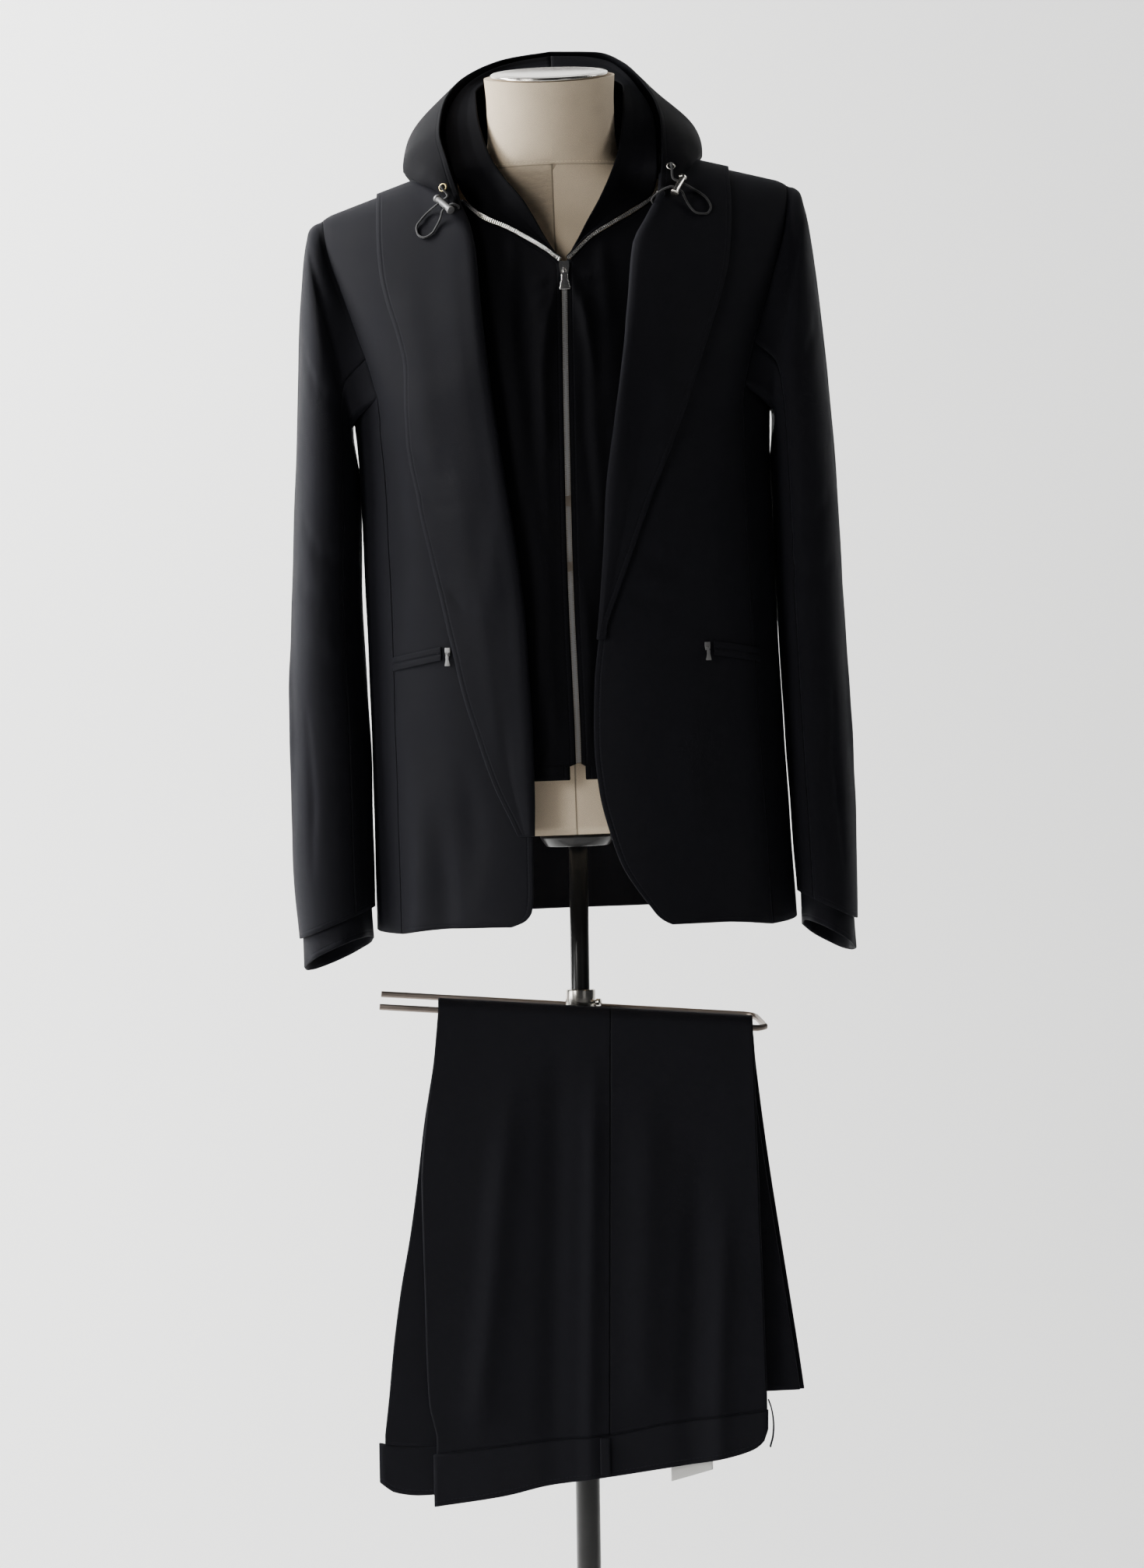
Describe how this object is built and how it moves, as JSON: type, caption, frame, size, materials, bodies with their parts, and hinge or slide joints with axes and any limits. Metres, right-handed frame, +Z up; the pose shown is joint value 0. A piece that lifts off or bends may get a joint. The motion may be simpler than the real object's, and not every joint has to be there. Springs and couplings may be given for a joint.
{
  "type": "business suit on a dress form and stand",
  "caption": "Dark suit jacket with a hooded zip insert on a limbless dress form; its trousers hang folded over the stand's bar.",
  "frame": {"origin": "centre of the base's underside, on the mast's axis, on the floor", "axes": "+Z up along the mast, the front faces -Y, and the wearer's left side is at +X"},
  "size_m": [0.5071, 0.3214, 1.6079],
  "materials": {
    "suiting": "matt dark navy twill suiting",
    "insert_cloth": "smooth dark navy technical cloth with a slight sheen",
    "linen": "matt undyed linen over a hard form",
    "nickel": "polished nickel",
    "gunmetal": "dark polished gunmetal",
    "black_enamel": "glossy black enamel",
    "brass": "aged brass",
    "elastic": "matt black round elastic",
    "label": "plain woven label, blank"
  },
  "bodies": {
    "stand": {"belt_loop_front": "suiting", "belt_loop_side": "suiting", "collar_screw": "nickel", "mast_collar": "nickel", "mast_lower": "black_enamel", "stand_base": "black_enamel", "trouser_back_far": "suiting", "trouser_back_near": "suiting", "trouser_bar": "nickel", "trouser_front_far": "suiting", "trouser_front_near": "suiting", "trouser_layers": "suiting", "waist_label": "label", "waistband_far": "suiting", "waistband_near": "suiting"},
    "mast_tube": {"mast_upper": "black_enamel"},
    "figure": {"cord_lock_left": "gunmetal", "cord_lock_right": "gunmetal", "cuff_inner_left": "suiting", "cuff_inner_right": "suiting", "drawcord_left": "elastic", "drawcord_right": "elastic", "dress_form": "linen", "form_socket": "black_enamel", "hood_eyelet_left": "brass", "hood_eyelet_right": "brass", "hood_inner_left": "insert_cloth", "hood_inner_right": "insert_cloth", "hood_outer_left": "insert_cloth", "hood_outer_right": "insert_cloth", "insert_front_left": "insert_cloth", "insert_front_right": "insert_cloth", "jacket_back_left": "suiting", "jacket_back_right": "suiting", "jacket_collar": "suiting", "jacket_front_left": "suiting", "jacket_front_right": "suiting", "jacket_lapel_left": "suiting", "jacket_lapel_right": "suiting", "jacket_side_left": "suiting", "jacket_side_right": "suiting", "neck_cap": "nickel", "pocket_slider_left": "gunmetal", "pocket_slider_right": "gunmetal", "pocket_welt_left": "suiting", "pocket_welt_right": "suiting", "sleeve_top_left": "suiting", "sleeve_top_right": "suiting", "sleeve_under_left": "suiting", "sleeve_under_right": "suiting", "zip_chain_left": "nickel", "zip_chain_lower": "gunmetal", "zip_chain_right": "nickel", "zip_slider": "nickel"},
    "zip_pull_body": {"zip_pull": "nickel"},
    "pocket_pull_right_body": {"pocket_pull_right": "gunmetal"},
    "pocket_pull_left_body": {"pocket_pull_left": "gunmetal"}
  },
  "joints": [
    {"name": "mast_slide", "type": "slide", "parent": "stand", "child": "mast_tube", "axis": [0, 0, 1], "range_m": [-0.02, 0.18]},
    {"name": "figure_turn", "type": "hinge", "parent": "mast_tube", "child": "figure", "pos_m": [0, 0, 0.884], "axis": [0, 0, 1], "continuous": true},
    {"name": "zip_pull_swing", "type": "hinge", "parent": "figure", "child": "zip_pull_body", "pos_m": [-0.00454, -0.09978, 1.39425], "axis": [-0.9998, -0.0046, -0.0208], "range_deg": [0, 150]},
    {"name": "pocket_pull_right_swing", "type": "hinge", "parent": "figure", "child": "pocket_pull_right_body", "pos_m": [-0.11263, -0.10591, 1.05826], "axis": [-0.9281, 0.3718, -0.0167], "range_deg": [0, 150]},
    {"name": "pocket_pull_left_swing", "type": "hinge", "parent": "figure", "child": "pocket_pull_left_body", "pos_m": [0.11712, -0.10285, 1.0601], "axis": [-0.8976, -0.4402, -0.021], "range_deg": [0, 150]}
  ]
}
